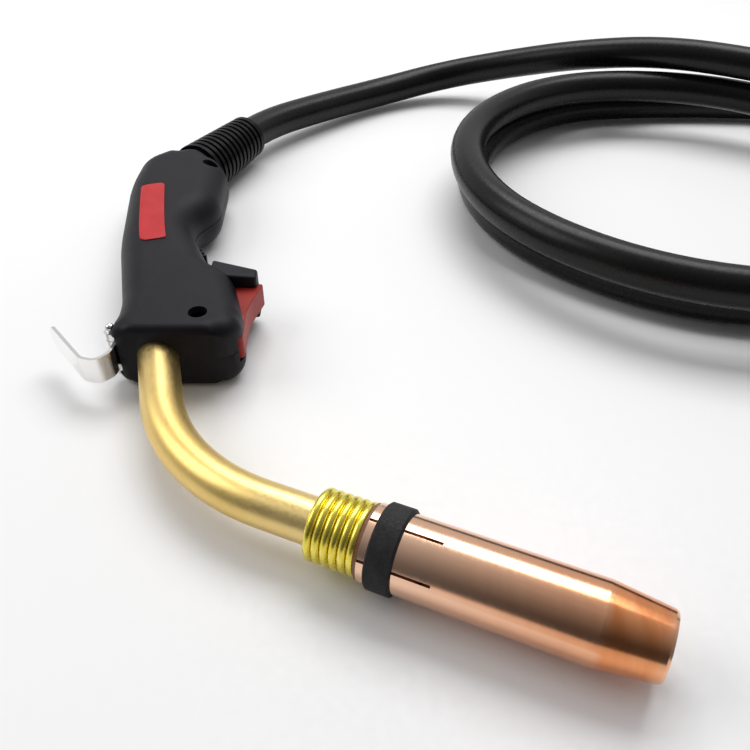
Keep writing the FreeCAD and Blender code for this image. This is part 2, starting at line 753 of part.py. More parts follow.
def handle_inside(body):
    """Screw and trigger pin bosses, the neck's saddles, the hook's block and the outlet's wall."""
    thick = val("handle_thick")
    grown = [upright_rod(p.x, p.y, val("boss_od") / 2, 0, thick) for p in SCREWS]
    hinge = (val("trigger_x"), val("trigger_y"), val("pin_boss") / 2)
    slot = val("trigger_thick / 2 + clear_gap")
    grown.append(upright_rod(*hinge, 0, val("mid_z") - slot))
    grown.append(upright_rod(*hinge, val("mid_z") + slot, thick))
    for station in (4, val(BLOCK_START) + 8):
        saddle = Part.makeBox(30, 4, thick, V(-15, station, -val("mid_z")))
        saddle.Placement = neck_frame
        grown.append(saddle)
    deep = val("plate_deep") + 7
    grown.append(Part.makeBox(6, deep, thick, V(hook_plate_x(), val("hook_y") - deep / 2, 0)))
    outlet = Part.makeBox(val("mouth_wall"), 60, thick, V(-val("mouth_wall"), -30, -val("mid_z")))
    outlet.Placement = boot_frame
    grown.append(outlet)
    inside = grown[0].multiFuse(grown[1:])
    return inside.common(body)


def rod_along(frame, start, end, radius):
    """A rod along a frame's X axis."""
    return Part.makeCylinder(radius, end - start, along(frame, start), frame.Rotation.multVec(V(1, 0, 0)))


def handle_openings():
    """Everything that is cut from the handle: bores, slots, wells and seats."""
    gap = val("fit_gap")
    mid = val("mid_z")
    thick = val("handle_thick")
    slot = val("trigger_thick / 2 + clear_gap")
    rear = val("trigger_y + trigger_reach") + 1.6
    front = val("trigger_y") - 6
    tools = [
        rod_along(inward, -12, val("jacket_tail"), val("neck_od") / 2 + gap),
        rod_along(inward, val(NUT_START) - 1, val("jacket_tail"), val("nut_flats") / 2 / math.cos(math.pi / 6) + 0.5),
        rod_along(inward, val("jacket_tail") - 1, val(CABLE_START), val("block_od") / 2 + gap),
        rod_along(boot_frame, -val("mouth_wall") - 1, 20, val("spigot_od") / 2 + gap),
        rod_along(boot_frame, -60, -val("mouth_wall"), val("flange_od") / 2 + gap),
        Part.makeBox(60, rear - front, 2 * slot, V(20, front, mid - slot)),
        upright_rod(val("trigger_x"), val("trigger_y"), val("pin_dia") / 2 + gap,
                    mid - val("pin_long") / 2, mid + val("pin_long") / 2),
    ]
    room, length, radii = tube_along(lead_route(), val("cable_od") / 2 + val("clear_gap"))
    tools.append(room.common(Part.makeBox(400, val("mouth_y") - 20, thick, V(-200, 0, 0))))
    for p in SCREWS:
        tools.append(upright_rod(p.x, p.y, val("screw_well") / 2, thick - val("well_deep"), thick + 1))
        tools.append(upright_rod(p.x, p.y, val("screw_dia") / 2 + gap, 5, thick))
    tools.append(hook_seat())
    return tools[0].multiFuse(tools[1:])


def make_handle():
    body = handle_body()
    shell = body.cut(handle_cavity()).fuse(handle_inside(body)).cut(handle_openings())
    mid = val("mid_z")
    lower = shell.common(Part.makeBox(400, 400, mid, V(-200, -200, 0)))
    upper = shell.common(Part.makeBox(400, 400, mid, V(-200, -200, mid)))
    feature("handle_lower", lower.removeSplitter())
    feature("handle_upper", upper.removeSplitter())
    top = val("handle_thick - well_deep")
    screws = []
    for p in SCREWS:
        head = upright_rod(p.x, p.y, val("screw_head") / 2, top, top + 2.4)
        socket = upright_rod(p.x, p.y, 1.2, top + 1, top + 3)
        shank = upright_rod(p.x, p.y, val("screw_dia") / 2, 6, top)
        screws.append(head.fuse(shank).cut(socket).removeSplitter())
    feature("handle_screws", Part.makeCompound(screws))


# ---- trigger and switch ----
def make_trigger():
    """The trigger: a lever hinged at its front, with a hollow finger face."""
    x = val("trigger_x")
    y = val("trigger_y")
    rear = y + val("trigger_reach")
    wire = rounded_wire([
        (V(36.9, y - 4.2, 0), 2.5),
        (V(36.2, 2.5, 0), 48),
        (V(41.6, rear, 0), 1.2),
        (V(24.8, rear, 0), 1),
        (V(24.8, 4.5, 0), 3),
        (V(x - 3.4, -3, 0), 4),
        (V(x - 3.4, y - 4.2, 0), 2.5),
    ])
    thick = val("trigger_thick")
    lever = slab(wire, thick)
    level = [e for e in lever.Edges if abs(e.BoundBox.ZLength) < 1e-6]
    lever = lever.makeFillet(0.7, level)
    lever.translate(V(0, 0, val("mid_z") - thick / 2))
    bore = upright_rod(x, y, val("pin_dia / 2 + run_gap"), 0, val("handle_thick"))
    feature("trigger", lever.cut(bore))
    low = val("mid_z - pin_long / 2")
    pin = cylinder("trigger_pin", "pin_dia / 2", "pin_long", frame_at(V(x, y, low), 0))
    keep(pin, "trigger_pin")


def make_switch():
    """The switch behind the trigger, its button, its two terminals and its leads."""
    x = val("switch_x")
    y = val("switch_y")
    mid = val("mid_z")
    corner = V(x, y - val("switch_wide") / 2, mid - val("switch_thick") / 2)
    case = box("switch_case", "switch_long", "switch_wide", "switch_thick", frame_at(corner, 0))
    face = x + val("switch_long")
    rear = face + val("button_out - button_long")
    along_x = FreeCAD.Rotation(V(0, 1, 0), 90)
    hole_start = V(rear - 4, y, mid)
    hole = cylinder("button_hole", "button_dia / 2 + run_gap", "button_long + 6",
                    FreeCAD.Placement(hole_start, along_x))
    keep(cut("switch_body", case, hole), "switch_body")
    button = cylinder("switch_button", "button_dia / 2", "button_long",
                      FreeCAD.Placement(V(rear, y, mid), along_x))
    keep(button, "switch_button")
    tabs = []
    leads = []
    for side in (-1, 1):
        centre = y + side * 4
        tabs.append(Part.makeBox(5, 0.8, 3.2, V(x - 5 - val("fit_gap"), centre - 0.4, mid - 1.6)))
        height = mid + 5.2 * side
        points = [
            V(x - 2, centre + 2, mid + 3.2 * side),
            V(x - 2.5, 26, height),
            V(x - 7.5, 44, height),
            V(x - 15, 62, height),
        ]
        solid, length, radii = tube_along(points, val("lead_od") / 2, 12)
        leads.append(solid)
    feature("switch_terminals", Part.makeCompound(tabs))
    feature("control_leads", Part.makeCompound(leads))


# ---- hook ----
HEAD_RADIUS = 2.1


def hook_plate_x():
    """The outer face of the bracket's plate."""
    return val("hook_x + knuckle_od / 2") + 0.5


def hook_seat():
    """The shallow seat in the handle's side that holds the hook's bracket plate."""
    deep = val("plate_deep") + 0.4
    tall = val("hook_wide + 2 * knuckle_long") + 1.4
    x = hook_plate_x()
    inner = val("plate_thick + fit_gap")
    seat = Part.makeBox(20 + inner, deep, tall, V(x - 20, val("hook_y") - deep / 2, val("mid_z") - tall / 2))
    wide = 2 * HEAD_RADIUS + 1
    tall += 4 * HEAD_RADIUS
    notch = Part.makeBox(20, wide, tall, V(x - 20.9, val("hook_y") - wide / 2, val("mid_z") - tall / 2))
    return seat.fuse(notch)


def strip_along(points, thick, low, high, radii):
    """A flat strip standing on edge along a plan path."""
    wire, found = rounded_path(points, radii)
    side = UP.cross(points[1] - points[0]).normalize() * (thick / 2)
    start = points[0]
    corners = [start + side, start - side, start - side + V(0, 0, high - low), start + side + V(0, 0, high - low)]
    section = Part.makePolygon(corners + corners[:1])
    strip = wire.makePipeShell([section], True, False)
    strip.translate(V(0, 0, low))
    return strip


def make_hook():
    """The hanging hook: an eye on a pin, and a strip swept forward and back out to its tip."""
    x = val("hook_x")
    y = val("hook_y")
    mid = val("mid_z")
    half = val("hook_wide") / 2
    thick = val("hook_thick")
    eye_r = val("knuckle_od") / 2
    side = x + eye_r - thick / 2
    strip = strip_along([
        V(side, y, 0),
        V(x + 0.9, y - 10.5, 0),
        V(x - 3.8, y - 16, 0),
        V(x - 10.8, y - 14, 0),
        V(x - 31.8, y + 11, 0),
    ], thick, mid - half, mid + half, 5)
    ends = [e for e in strip.Edges if e.BoundBox.YMin > y + 9 and e.BoundBox.ZLength < 0.1 and e.Length < 2 * thick]
    strip = strip.makeFillet(4.5, ends)
    eye = upright_rod(x, y, eye_r, mid - half, mid + half)
    bore = upright_rod(x, y, val("hook_pin_dia / 2 + run_gap"), 0, val("handle_thick"))
    feature("hook", strip.fuse(eye).cut(bore).removeSplitter())
    gap = 0.25
    reach = half + gap + val("knuckle_long")
    knuckles = []
    for low in (mid - reach, mid + half + gap):
        knuckle = upright_rod(x, y, eye_r, low, low + val("knuckle_long"))
        arm = Part.makeBox(hook_plate_x() - x + 0.5, eye_r * 2, val("knuckle_long"), V(x, y - eye_r, low))
        knuckles.append(knuckle.fuse(arm))
    plate = Part.makeBox(val("plate_thick"), val("plate_deep"), 2 * reach,
                         V(hook_plate_x(), y - val("plate_deep") / 2, mid - reach))
    hole = upright_rod(x, y, val("hook_pin_dia / 2 + fit_gap"), 0, val("handle_thick"))
    bracket = plate.multiFuse(knuckles).cut(hole).removeSplitter()
    feature("hook_bracket", bracket)
    low = mid - reach - 1
    pin = upright_rod(x, y, val("hook_pin_dia") / 2, low, mid + reach + 1)
    heads = [Part.makeSphere(HEAD_RADIUS, V(x, y, z)) for z in (low - 0.9, mid + reach + 1.9)]
    feature("hook_pin", pin.multiFuse(heads).removeSplitter())


# ---- the free cable ----
def make_cable():
    """The free cable, leaving the boot straight and ending in the plug."""
    start = val("boot_long") + 0.02
    points = [along(boot_frame, start), along(boot_frame, start + 24)] + ROUTE + [PLUG_START]
    solid, length, radii = tube_along(points, val("cable_od") / 2)
    plain = math.pi * val("cable_od") ** 2 / 4 * length
    print("free cable", round(length, 1), "volume ratio", round(solid.Volume / plain, 4))
    print("free cable radii", [round(r) for r in radii])
    feature("torch_cable", solid)


# ---- central machine plug ----
SHELL_START = "plug_boot_long - 8"
SHELL_END = "plug_boot_long - 8 + shell_long"
NUT_REAR = "plug_boot_long - 8 + shell_long + clear_gap"
NUT_FRONT = "plug_boot_long - 8 + shell_long + clear_gap + coupling_long"
FACE_START = "plug_boot_long - 8 + shell_long + 16"
upright_x = FreeCAD.Rotation(V(0, 1, 0), 90)


def make_plug_boot():
    """The plug's own ribbed bend relief, clamped by a flange in the shells."""
    bore = "cable_od / 2 + fit_gap"
    outline = [
        ("0.02", "plug_boot_end / 2"),
        ("0.02", "cable_od / 2 - 3"),
        ("3", "cable_od / 2 - 3"),
        ("3", bore),
        ("plug_boot_long", bore),
        ("plug_boot_long", "plug_boot_od / 2 + 2"),
        ("plug_boot_long - 3", "plug_boot_od / 2 + 2"),
        ("plug_boot_long - 3", "plug_boot_od / 2"),
        ("plug_boot_long - 10", "plug_boot_od / 2"),
    ]
    count = 7
    pitch = "(plug_boot_long - 12) / 7"
    slope = "(plug_boot_od - plug_boot_end) / 2 / 7"
    for i in range(count):
        top = f"plug_boot_od / 2 - {slope} * {i}"
        place = f"plug_boot_long - 10 - {pitch} * {i}"
        outline.append((f"{place} - {pitch} * 0.1", f"{top} - 1.8"))
        outline.append((f"{place} - {pitch} * 0.4", f"{top} - 1.8"))
        outline.append((f"{place} - {pitch} * 0.5", f"{top} - {slope}"))
        if i < count - 1:
            outline.append((f"{place} - {pitch}", f"{top} - {slope}"))
    keep(turned("plug_boot", outline), "plug_boot", plug_frame)


def make_plug_shells():
    """The two plastic shells behind the coupling nut, and the screws that hold them."""
    inner = "shell_od / 2 - shell_wall"
    seat = "plug_boot_od / 2 + fit_gap"
    ring = "plug_boot_od / 2 + 2 + fit_gap"
    hull = turned("plug_hull", [
        (SHELL_START, seat),
        (f"{SHELL_START} + 5 - fit_gap", seat),
        (f"{SHELL_START} + 5 - fit_gap", ring),
        (f"{SHELL_START} + 8 + 1", ring),
        (f"{SHELL_START} + 8 + 1", "shell_od / 2 - shell_wall - 1.4"),
        (f"{SHELL_START} + 22", inner),
        (f"{SHELL_END} - 8", inner),
        (f"{SHELL_END} - 8", "body_od / 2 + fit_gap"),
        (SHELL_END, "body_od / 2 + fit_gap"),
        (SHELL_END, "shell_od / 2 - 1"),
        (f"{SHELL_END} - 1", "shell_od / 2"),
        (f"{SHELL_END} - 34", "shell_od / 2"),
        (f"{SHELL_START} + 3", "shell_od / 2 - 2.5"),
        (SHELL_START, "shell_od / 2 - 4"),
    ])
    hull.Placement = plug_frame
    doc.recompute()
    shape = hull.Shape
    start = val(SHELL_START) + 14
    bosses = []
    wells = []
    for x, side in ((start, -1), (start + 24, 1)):
        centre = along(plug_frame, x, side * (val("shell_od") / 2 - 6.2))
        bosses.append(upright_rod(centre.x, centre.y, 3.8, centre.z - 14, centre.z + 14))
        wells.append(upright_rod(centre.x, centre.y, 1.55, centre.z - 11, centre.z + 20))
        wells.append(upright_rod(centre.x, centre.y, 3.1, centre.z + 9, centre.z + 30))
    solid = Part.makeCylinder(val("shell_od") / 2 - 0.5, val("shell_long") - 4,
                              along(plug_frame, val(SHELL_START) + 2), V(0, -1, 0))
    full = bosses[0].fuse(bosses[1]).common(solid)
    shape = shape.fuse(full).cut(wells[0].multiFuse(wells[1:]))
    box_size = 400
    low = Part.makeBox(box_size, box_size, box_size, V(PLUG_START.x - 200, PLUG_START.y - 300, PLUG_START.z - box_size))
    high = Part.makeBox(box_size, box_size, box_size, V(PLUG_START.x - 200, PLUG_START.y - 300, PLUG_START.z))
    feature("plug_shell_lower", shape.common(low).removeSplitter())
    feature("plug_shell_upper", shape.common(high).removeSplitter())
    doc.removeObject(hull.Name)
    screws = []
    for x, side in ((start, -1), (start + 24, 1)):
        centre = along(plug_frame, x, side * (val("shell_od") / 2 - 6.2))
        head = upright_rod(centre.x, centre.y, 2.8, centre.z + 9, centre.z + 11)
        shank = upright_rod(centre.x, centre.y, 1.5, centre.z - 10, centre.z + 9)
        slot = Part.makeBox(8, 0.9, 2, V(centre.x - 4, centre.y - 0.45, centre.z + 10))
        screws.append(head.fuse(shank).cut(slot).removeSplitter())
    feature("plug_screws", Part.makeCompound(screws))


def make_coupling_nut():
    """The nut that pulls the plug into the machine's socket, with grip flutes."""
    lip = "body_od / 2 + run_gap"
    ring = turned("nut_ring", [
        (NUT_REAR, lip),
        (f"{NUT_REAR} + 4", lip),
        (f"{NUT_REAR} + 4", "body_flange / 2 + clear_gap"),
        (NUT_FRONT, "body_flange / 2 + clear_gap"),
        (NUT_FRONT, "nut_od / 2 - 1.5"),
        (f"{NUT_FRONT} - 1.5", "nut_od / 2"),
        (f"{NUT_REAR} + 1.5", "nut_od / 2"),
        (NUT_REAR, "nut_od / 2 - 1.5"),
    ])
    ring.Placement = plug_frame
    flutes = []
    count = int(val("flute_count"))
    for i in range(count):
        turn = FreeCAD.Placement(V(), FreeCAD.Rotation(V(1, 0, 0), 360 * (i + 0.5) / count))
        out = V(val(NUT_REAR) - 1, val("nut_od / 2 + flute_dia * 0.22"), 0)
        place = plug_frame.multiply(turn).multiply(FreeCAD.Placement(out, upright_x))
        flutes.append(cylinder(f"flute_{i + 1}", "flute_dia / 2", "coupling_long - 4", place))
    keep(cut("coupling_nut", ring, joined("flutes", flutes)), "coupling_nut")


def make_plug_body():
    """The brass body: crimp stud in the shells, flange in the nut, socket for the nipple."""
    start = f"{SHELL_END} - 26"
    flange = f"{NUT_REAR} + 4 + clear_gap"
    body = turned("plug_body", [
        (start, "nipple_od / 2 + fit_gap"),
        (f"{FACE_START} - fit_gap", "nipple_od / 2 + fit_gap"),
        (f"{FACE_START} - fit_gap", "body_od / 2 - 1"),
        (f"{flange} + 3", "body_od / 2 - 1"),
        (f"{flange} + 3", "body_flange / 2"),
        (flange, "body_flange / 2"),
        (flange, "body_od / 2"),
        (f"{SHELL_END} - 10", "body_od / 2"),
        (f"{SHELL_END} - 10", "body_od / 2 - 5"),
        (start, "body_od / 2 - 5"),
    ])
    keep(body, "plug_body", plug_frame)


def make_plug_front():
    """The insulating face, its two control pins, the gas nipple and its seals."""
    face_end = f"{FACE_START} + face_long"
    disc = turned("face_disc", sleeve(FACE_START, face_end, "nipple_od + 2 * fit_gap", "face_od - 1"))
    disc.Placement = plug_frame
    holes = []
    pins = []
    for i, side in enumerate((-1, 1)):
        start = V(val(FACE_START) + 3, side * val("contact_pitch"), 3)
        place = plug_frame.multiply(FreeCAD.Placement(start, upright_x))
        holes.append(cylinder(f"pin_hole_{i + 1}", "pin_root / 2 + fit_gap", "face_long", place))
        root = Part.makeCylinder(val("pin_root") / 2, val("face_long - 3"))
        long = val("face_long - 3 + contact_long")
        pin = Part.makeCylinder(val("contact_dia") / 2, long)
        pin = pin.makeChamfer(0.6, [e for e in pin.Edges if e.BoundBox.ZMin > long - 0.1])
        pin = pin.fuse(root)
        pin.Placement = place
        pins.append(pin)
    keep(cut("plug_face", disc, joined("pin_holes", holes)), "plug_face")
    feature("control_pins", Part.makeCompound(pins))
    start = f"{SHELL_END} - 24"
    end = f"{face_end} + nipple_long"
    groove = f"{face_end} + nipple_long - 8"
    nipple = turned("gas_nipple", [
        (start, "liner_id / 2 + 0.4"),
        (end, "liner_id / 2 + 0.4"),
        (end, "nipple_od / 2 - 1"),
        (f"{end} - 1", "nipple_od / 2"),
        (f"{groove} + 2.6", "nipple_od / 2"),
        (f"{groove} + 2.6", "nipple_od / 2 - 1.4"),
        (groove, "nipple_od / 2 - 1.4"),
        (groove, "nipple_od / 2"),
        (start, "nipple_od / 2"),
    ])
    keep(nipple, "gas_nipple", plug_frame)
    seal = doc.addObject("Part::Torus", "nipple_seal")
    seal.setExpression("Radius1", bound("nipple_od / 2 - 0.1"))
    seal.Radius2 = 1.15
    keep(seal, "nipple_seal", plug_frame.multiply(FreeCAD.Placement(V(val(groove) + 1.3, 0, 0), upright_x)))


def write_parts():
    """Check every object and every sub-part, then write one file a sub-part."""
    doc.recompute()
    faults = [o.Name for o in doc.Objects if {"Invalid", "Error"} & set(o.State)]
    for node in nodes:
        if node.Shape.isNull() or not node.Shape.isValid() or not node.Shape.Solids:
            faults.append(node.Label)
    if faults:
        raise RuntimeError("failed: " + ", ".join(faults))
    os.makedirs("parts", exist_ok=True)
    for node in nodes:
        node.Shape.exportStep(f"parts/{node.Label}.step")
    print(len(nodes), "sub-parts written")


make_neck()
make_collar()
make_insulator()
make_nozzle()
make_ring()
make_adaptor()
make_diffuser()
make_tip()
make_connector()
make_cable_lead()
make_boot()
make_handle()
make_trigger()
make_switch()
make_hook()
make_cable()
make_plug_boot()
make_plug_shells()
make_coupling_nut()
make_plug_body()
make_plug_front()
write_parts()
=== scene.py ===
import json
import math

import bmesh
import bpy
import numpy as np
from mathutils import Matrix, Vector


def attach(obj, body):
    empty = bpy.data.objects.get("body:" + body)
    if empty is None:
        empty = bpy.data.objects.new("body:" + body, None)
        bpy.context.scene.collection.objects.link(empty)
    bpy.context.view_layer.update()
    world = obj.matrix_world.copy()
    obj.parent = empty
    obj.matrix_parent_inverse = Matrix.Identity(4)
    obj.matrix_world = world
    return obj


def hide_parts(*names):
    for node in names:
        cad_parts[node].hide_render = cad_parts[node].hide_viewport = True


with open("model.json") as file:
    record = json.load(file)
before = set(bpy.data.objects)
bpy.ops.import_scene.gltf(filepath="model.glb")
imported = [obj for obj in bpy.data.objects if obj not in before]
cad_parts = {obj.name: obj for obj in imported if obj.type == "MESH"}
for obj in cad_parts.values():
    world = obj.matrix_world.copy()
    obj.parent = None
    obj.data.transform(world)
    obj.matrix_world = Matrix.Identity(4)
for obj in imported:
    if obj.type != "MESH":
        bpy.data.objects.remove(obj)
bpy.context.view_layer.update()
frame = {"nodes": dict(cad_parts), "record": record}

MM = 0.001  # metres in a millimetre
scene = bpy.context.scene
scene.view_settings.view_transform = "Standard"


# ---- materials ----
def finish_of(name, base, other, rough, metal=0.0, grain=900.0, bump=0.08, spread=70.0,
              stretch=(1, 1, 1), turn=0.0, wear=None, gloss=0.5):
    """A procedural finish: two mixed tones, varied roughness, a fine bump, and lighter edges if worn."""

    def noise(scale, detail):
        node = tree.nodes.new("ShaderNodeTexNoise")
        node.inputs["Scale"].default_value = scale
        node.inputs["Detail"].default_value = detail
        tree.links.new(mapping.outputs[0], node.inputs["Vector"])
        return node

    mat = bpy.data.materials.new(name)
    mat.use_nodes = True
    tree = mat.node_tree
    tree.nodes.clear()
    out = tree.nodes.new("ShaderNodeOutputMaterial")
    shader = tree.nodes.new("ShaderNodeBsdfPrincipled")
    tree.links.new(shader.outputs[0], out.inputs[0])
    place = tree.nodes.new("ShaderNodeTexCoord")
    mapping = tree.nodes.new("ShaderNodeMapping")
    mapping.inputs["Rotation"].default_value = (0, 0, turn)
    mapping.inputs["Scale"].default_value = stretch
    tree.links.new(place.outputs["Object"], mapping.inputs["Vector"])
    broad = noise(spread, 4)
    fine = noise(grain, 3)
    tones = tree.nodes.new("ShaderNodeValToRGB")
    tones.color_ramp.elements[0].position = 0.35
    tones.color_ramp.elements[1].position = 0.68
    tones.color_ramp.elements[0].color = (*base, 1)
    tones.color_ramp.elements[1].color = (*other, 1)
    tree.links.new(broad.outputs[0], tones.inputs[0])
    colour = tones.outputs[0]
    if wear is not None:
        geometry = tree.nodes.new("ShaderNodeNewGeometry")
        edges = tree.nodes.new("ShaderNodeMapRange")
        edges.inputs["From Min"].default_value = 0.52
        edges.inputs["From Max"].default_value = 0.60
        tree.links.new(geometry.outputs["Pointiness"], edges.inputs[0])
        mix = tree.nodes.new("ShaderNodeMix")
        mix.data_type = "RGBA"
        mix.inputs["B"].default_value = (*wear, 1)
        tree.links.new(edges.outputs[0], mix.inputs["Factor"])
        tree.links.new(colour, mix.inputs["A"])
        colour = mix.outputs["Result"]
    tree.links.new(colour, shader.inputs["Base Color"])
    shine = tree.nodes.new("ShaderNodeMapRange")
    shine.inputs["From Min"].default_value = 0.3
    shine.inputs["From Max"].default_value = 0.7
    shine.inputs["To Min"].default_value = rough * 0.82
    shine.inputs["To Max"].default_value = min(1.0, rough * 1.2)
    tree.links.new(fine.outputs[0], shine.inputs[0])
    tree.links.new(shine.outputs[0], shader.inputs["Roughness"])
    shader.inputs["Metallic"].default_value = metal
    shader.inputs["Specular IOR Level"].default_value = gloss
    relief = tree.nodes.new("ShaderNodeBump")
    relief.inputs["Strength"].default_value = bump
    relief.inputs["Distance"].default_value = 0.4 * MM
    tree.links.new(fine.outputs[0], relief.inputs["Height"])
    tree.links.new(relief.outputs[0], shader.inputs["Normal"])
    return mat


NOZZLE_TURN = math.radians(23.5)  # the nozzle points this far below +X in plan

# Tones are linear RGB. Metals take theirs as the tint of what they reflect.
FINISH = {
    "handle_plastic": finish_of(
        "handle_plastic", (0.0062, 0.0050, 0.0078), (0.0088, 0.0075, 0.0105), 0.47, grain=2200,
        bump=0.30, spread=40, wear=(0.017, 0.015, 0.019), gloss=0.17
    ),
    "trigger_plastic": finish_of(
        "trigger_plastic", (0.30, 0.024, 0.018), (0.35, 0.033, 0.024), 0.42, grain=1500, bump=0.10,
        spread=60, wear=(0.42, 0.060, 0.045), gloss=0.20
    ),
    "boot_rubber": finish_of(
        "boot_rubber", (0.002, 0.002, 0.0022), (0.004, 0.004, 0.0044), 0.28, grain=700, bump=0.04,
        spread=50, gloss=0.13
    ),
    "cable_rubber": finish_of(
        "cable_rubber", (0.0035, 0.0035, 0.0038), (0.0055, 0.0055, 0.006), 0.30, grain=600,
        bump=0.03, spread=25, gloss=0.24
    ),
    "ring_rubber": finish_of(
        "ring_rubber", (0.012, 0.0112, 0.012), (0.024, 0.023, 0.024), 0.72, grain=1100, bump=0.40,
        spread=120, gloss=0.3
    ),
    "neck_brass": finish_of(
        "neck_brass", (0.86, 0.64, 0.24), (0.80, 0.57, 0.19), 0.36, 1.0, grain=800, bump=0.02,
        spread=30, wear=(0.90, 0.68, 0.30)
    ),
    "collar_brass": finish_of(
        "collar_brass", (0.93, 0.80, 0.15), (0.88, 0.73, 0.11), 0.26, 1.0, grain=900, bump=0.02,
        spread=60, wear=(0.98, 0.86, 0.35)
    ),
    "nozzle_copper": finish_of(
        "nozzle_copper", (0.92, 0.38, 0.165), (0.83, 0.30, 0.115), 0.18, 1.0, grain=420, bump=0.02,
        spread=36, stretch=(6, 0.8, 0.8), turn=NOZZLE_TURN, wear=(0.95, 0.62, 0.44)
    ),
    "tip_copper": finish_of(
        "tip_copper", (0.70, 0.33, 0.19), (0.55, 0.24, 0.13), 0.30, 1.0, grain=700, bump=0.08,
        spread=80
    ),
    "inner_brass": finish_of(
        "inner_brass", (0.74, 0.53, 0.20), (0.62, 0.43, 0.15), 0.30, 1.0, grain=900, bump=0.08,
        spread=80, wear=(0.85, 0.66, 0.34)
    ),
    "insulation": finish_of(
        "insulation", (0.17, 0.075, 0.035), (0.25, 0.12, 0.06), 0.50, grain=1200, bump=0.2,
        spread=150
    ),
    "ceramic": finish_of(
        "ceramic", (0.72, 0.68, 0.60), (0.80, 0.77, 0.70), 0.60, grain=1800, bump=0.2, spread=90
    ),
    "bright_steel": finish_of(
        "bright_steel", (0.78, 0.77, 0.74), (0.64, 0.63, 0.61), 0.16, 1.0, grain=500, bump=0.08,
        spread=60, wear=(0.92, 0.91, 0.90)
    ),
    "screw_steel": finish_of(
        "screw_steel", (0.10, 0.10, 0.11), (0.16, 0.16, 0.17), 0.38, 1.0, grain=900, bump=0.1,
        spread=90, wear=(0.30, 0.30, 0.31)
    ),
    "liner_steel": finish_of(
        "liner_steel", (0.50, 0.50, 0.51), (0.38, 0.38, 0.39), 0.32, 1.0, grain=900, bump=0.3,
        spread=300
    ),
    "switch_plastic": finish_of(
        "switch_plastic", (0.030, 0.030, 0.032), (0.045, 0.045, 0.048), 0.42, grain=1500, bump=0.15
    ),
    "button_plastic": finish_of(
        "button_plastic", (0.62, 0.61, 0.56), (0.70, 0.69, 0.65), 0.40, grain=1500, bump=0.1
    ),
    "lead_plastic": finish_of(
        "lead_plastic", (0.03, 0.07, 0.30), (0.05, 0.10, 0.38), 0.38, grain=1200, bump=0.1
    ),
    "plug_plastic": finish_of(
        "plug_plastic", (0.011, 0.011, 0.012), (0.016, 0.016, 0.0175), 0.44, grain=1800, bump=0.3,
        spread=50, wear=(0.025, 0.025, 0.027), gloss=0.3
    ),
    "mark_red": finish_of(
        "mark_red", (0.47, 0.022, 0.026), (0.53, 0.030, 0.033), 0.48, grain=1600, bump=0.10,
        gloss=0.20
    ),
}

for sub in frame["record"]["subparts"]:
    node = frame["nodes"][sub["node"]]
    node.data.materials.clear()
    node.data.materials.append(FINISH[sub["material_slot"]])


def solid_from(name, verts, faces, finish):
    """A mesh object in metres from points in millimetres."""
    mesh = bpy.data.meshes.new(name)
    mesh.from_pydata([tuple(c * MM for c in v) for v in verts], [], faces)
    mesh.update()
    obj = bpy.data.objects.new(name, mesh)
    bpy.context.collection.objects.link(obj)
    if finish:
        mesh.materials.append(FINISH[finish])
    return obj


def smooth_by_angle(obj, degrees):
    """Smooth shading with sharp edges where two faces meet at more than an angle."""
    work = bmesh.new()
    work.from_mesh(obj.data)
    work.normal_update()
    for face in work.faces:
        face.smooth = True
    for edge in work.edges:
        if len(edge.link_faces) == 2:
            edge.smooth = edge.calc_face_angle(0) < math.radians(degrees)
    work.to_mesh(obj.data)
    work.free()


def boolean(obj, tool, kind):
    """Cut or join with a tool, which then goes."""
    step = obj.modifiers.new(kind, "BOOLEAN")
    step.operation = kind
    step.solver = "EXACT"
    step.object = tool
    bpy.context.view_layer.objects.active = obj
    bpy.ops.object.modifier_apply(modifier=step.name)
    bpy.data.objects.remove(tool)


def rod(name, start, end, radius, sides=64):
    """A round cutting tool between two points in millimetres."""
    a = Vector(start) * MM
    b = Vector(end) * MM
    work = bmesh.new()
    bmesh.ops.create_cone(work, cap_ends=True, segments=sides, radius1=radius * MM, radius2=radius * MM,
                          depth=(b - a).length)
    turn = (b - a).to_track_quat("Z", "Y").to_matrix().to_4x4()
    work.transform(Matrix.Translation((a + b) / 2) @ turn)
    mesh = bpy.data.meshes.new(name)
    work.to_mesh(mesh)
    work.free()
    obj = bpy.data.objects.new(name, mesh)
    bpy.context.collection.objects.link(obj)
    return obj


def block(name, low, high, soft=0.0):
    """A box in millimetres, its edges rounded by soft."""
    work = bmesh.new()
    bmesh.ops.create_cube(work, size=1)
    size = Vector(high) - Vector(low)
    middle = Matrix.Translation((Vector(high) + Vector(low)) / 2 * MM)
    work.transform(middle @ Matrix.Diagonal((*(size * MM), 1)))
    if soft:
        bmesh.ops.bevel(work, geom=work.edges[:], offset=soft * MM, segments=3, affect="EDGES", profile=0.5)
    mesh = bpy.data.meshes.new(name)
    work.to_mesh(mesh)
    work.free()
    obj = bpy.data.objects.new(name, mesh)
    bpy.context.collection.objects.link(obj)
    return obj


